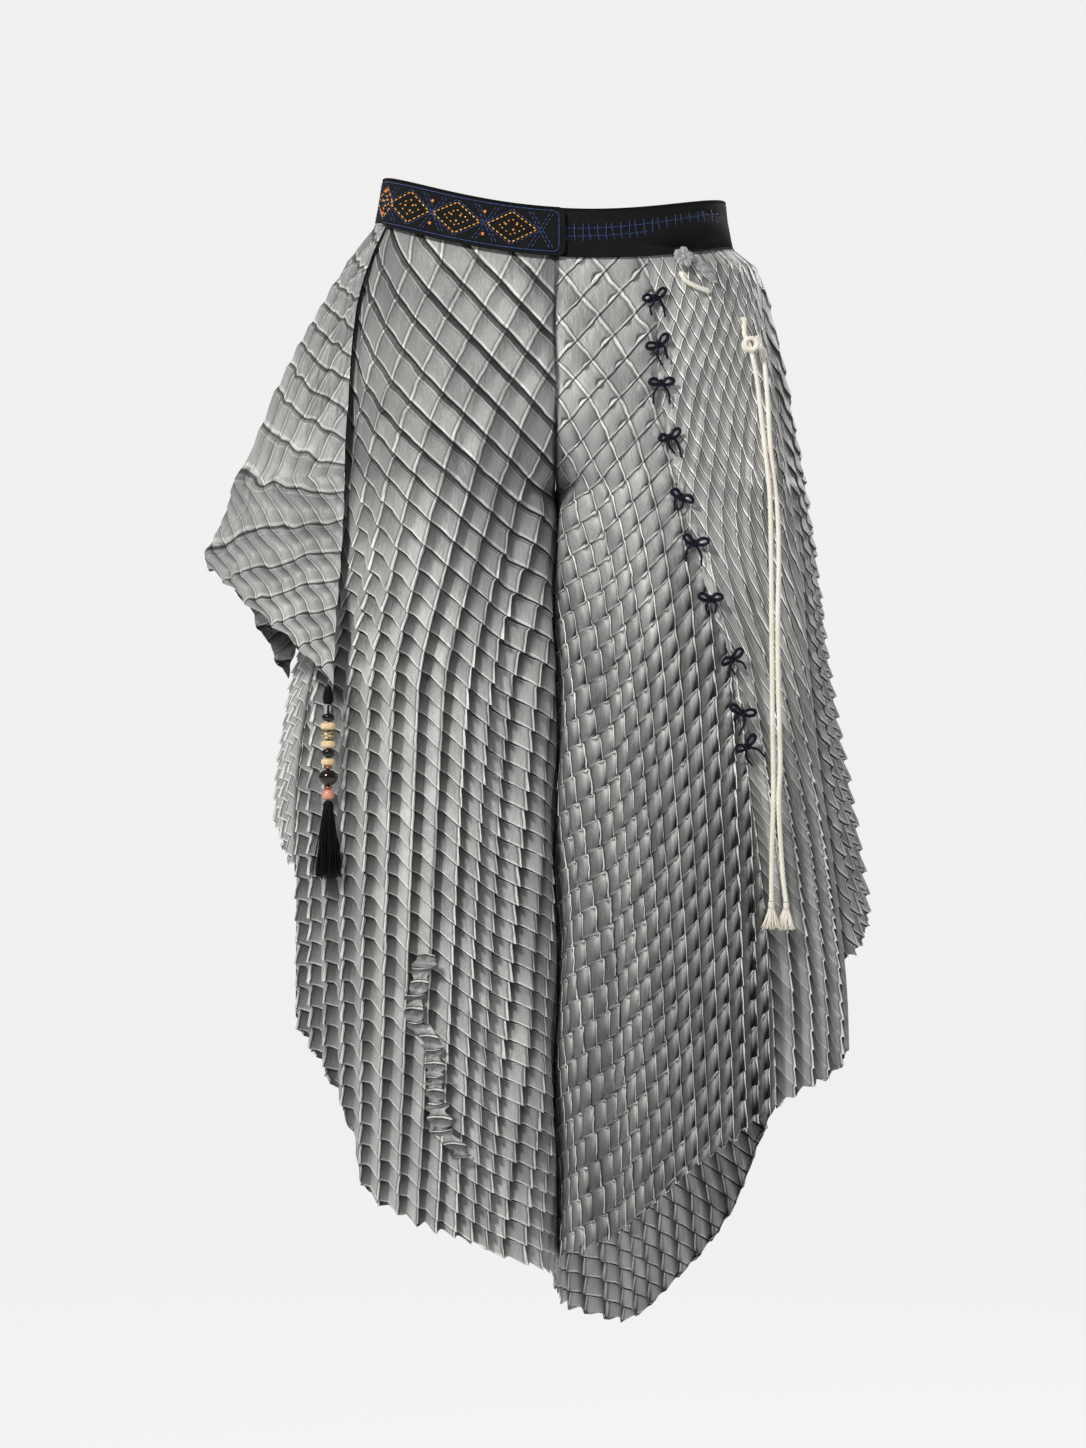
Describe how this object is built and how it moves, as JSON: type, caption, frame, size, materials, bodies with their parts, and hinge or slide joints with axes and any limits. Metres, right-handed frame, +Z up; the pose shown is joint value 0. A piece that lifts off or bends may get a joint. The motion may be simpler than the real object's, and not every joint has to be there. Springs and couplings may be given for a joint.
{
  "type": "pleated trousers",
  "caption": "Wide cross-pleated trousers with a pointed hem, black embroidered waistband, laced seam with ribbon bows, hip flap, hanging cord and beaded tassel.",
  "frame": {"origin": "middle of the waist opening, level with the middle of the waistband at the centre front", "axes": "+Z up, -Y to the front, +X to the wearer's left"},
  "size_m": [0.5778, 0.3625, 1.0132],
  "materials": {
    "taffeta": "satin",
    "black_cloth": "matte",
    "ribbon": "satin",
    "cotton": "matte",
    "black_thread": "satin",
    "black_bead": "gloss",
    "cream_bead": "gloss",
    "metal_bead": "cast",
    "agate_bead": "gloss",
    "coral_bead": "satin"
  },
  "bodies": {
    "root": {"hip_flap": "taffeta", "right_front_ruffle": "taffeta", "rosette": "taffeta", "rosette_leaf": "taffeta", "waistband_right_front": "black_cloth", "waistband_left_front": "black_cloth", "waistband_right_back": "black_cloth", "waistband_left_back": "black_cloth", "cord_loop": "cotton", "cord_strand_a": "cotton", "cord_strand_b": "cotton", "cord_knot": "cotton", "cord_end_a": "cotton", "cord_end_b": "cotton", "tassel_knot": "black_thread", "tassel_thread": "black_thread", "tassel_fringe": "black_thread", "right_front_hip": "taffeta", "right_front_leg": "taffeta", "left_front_hip": "taffeta", "left_front_leg": "taffeta", "left_side_front_hip": "taffeta", "left_side_front_leg": "taffeta", "right_back_hip": "taffeta", "right_back_leg": "taffeta", "left_back_hip": "taffeta", "left_back_leg": "taffeta", "bow_01": "ribbon", "bow_02": "ribbon", "bow_03": "ribbon", "bow_04": "ribbon", "bow_05": "ribbon", "bow_06": "ribbon", "bow_07": "ribbon", "bow_08": "ribbon", "bow_09": "ribbon", "bow_10": "ribbon", "bead_black_disc": "black_bead", "bead_black_barrel": "black_bead", "bead_cream_upper": "cream_bead", "bead_cream_middle": "cream_bead", "bead_cream_lower": "cream_bead", "bead_brass_ring": "metal_bead", "bead_copper_upper": "metal_bead", "bead_copper_lower": "metal_bead", "bead_agate_ball": "agate_bead", "bead_coral": "coral_bead"}
  },
  "joints": []
}
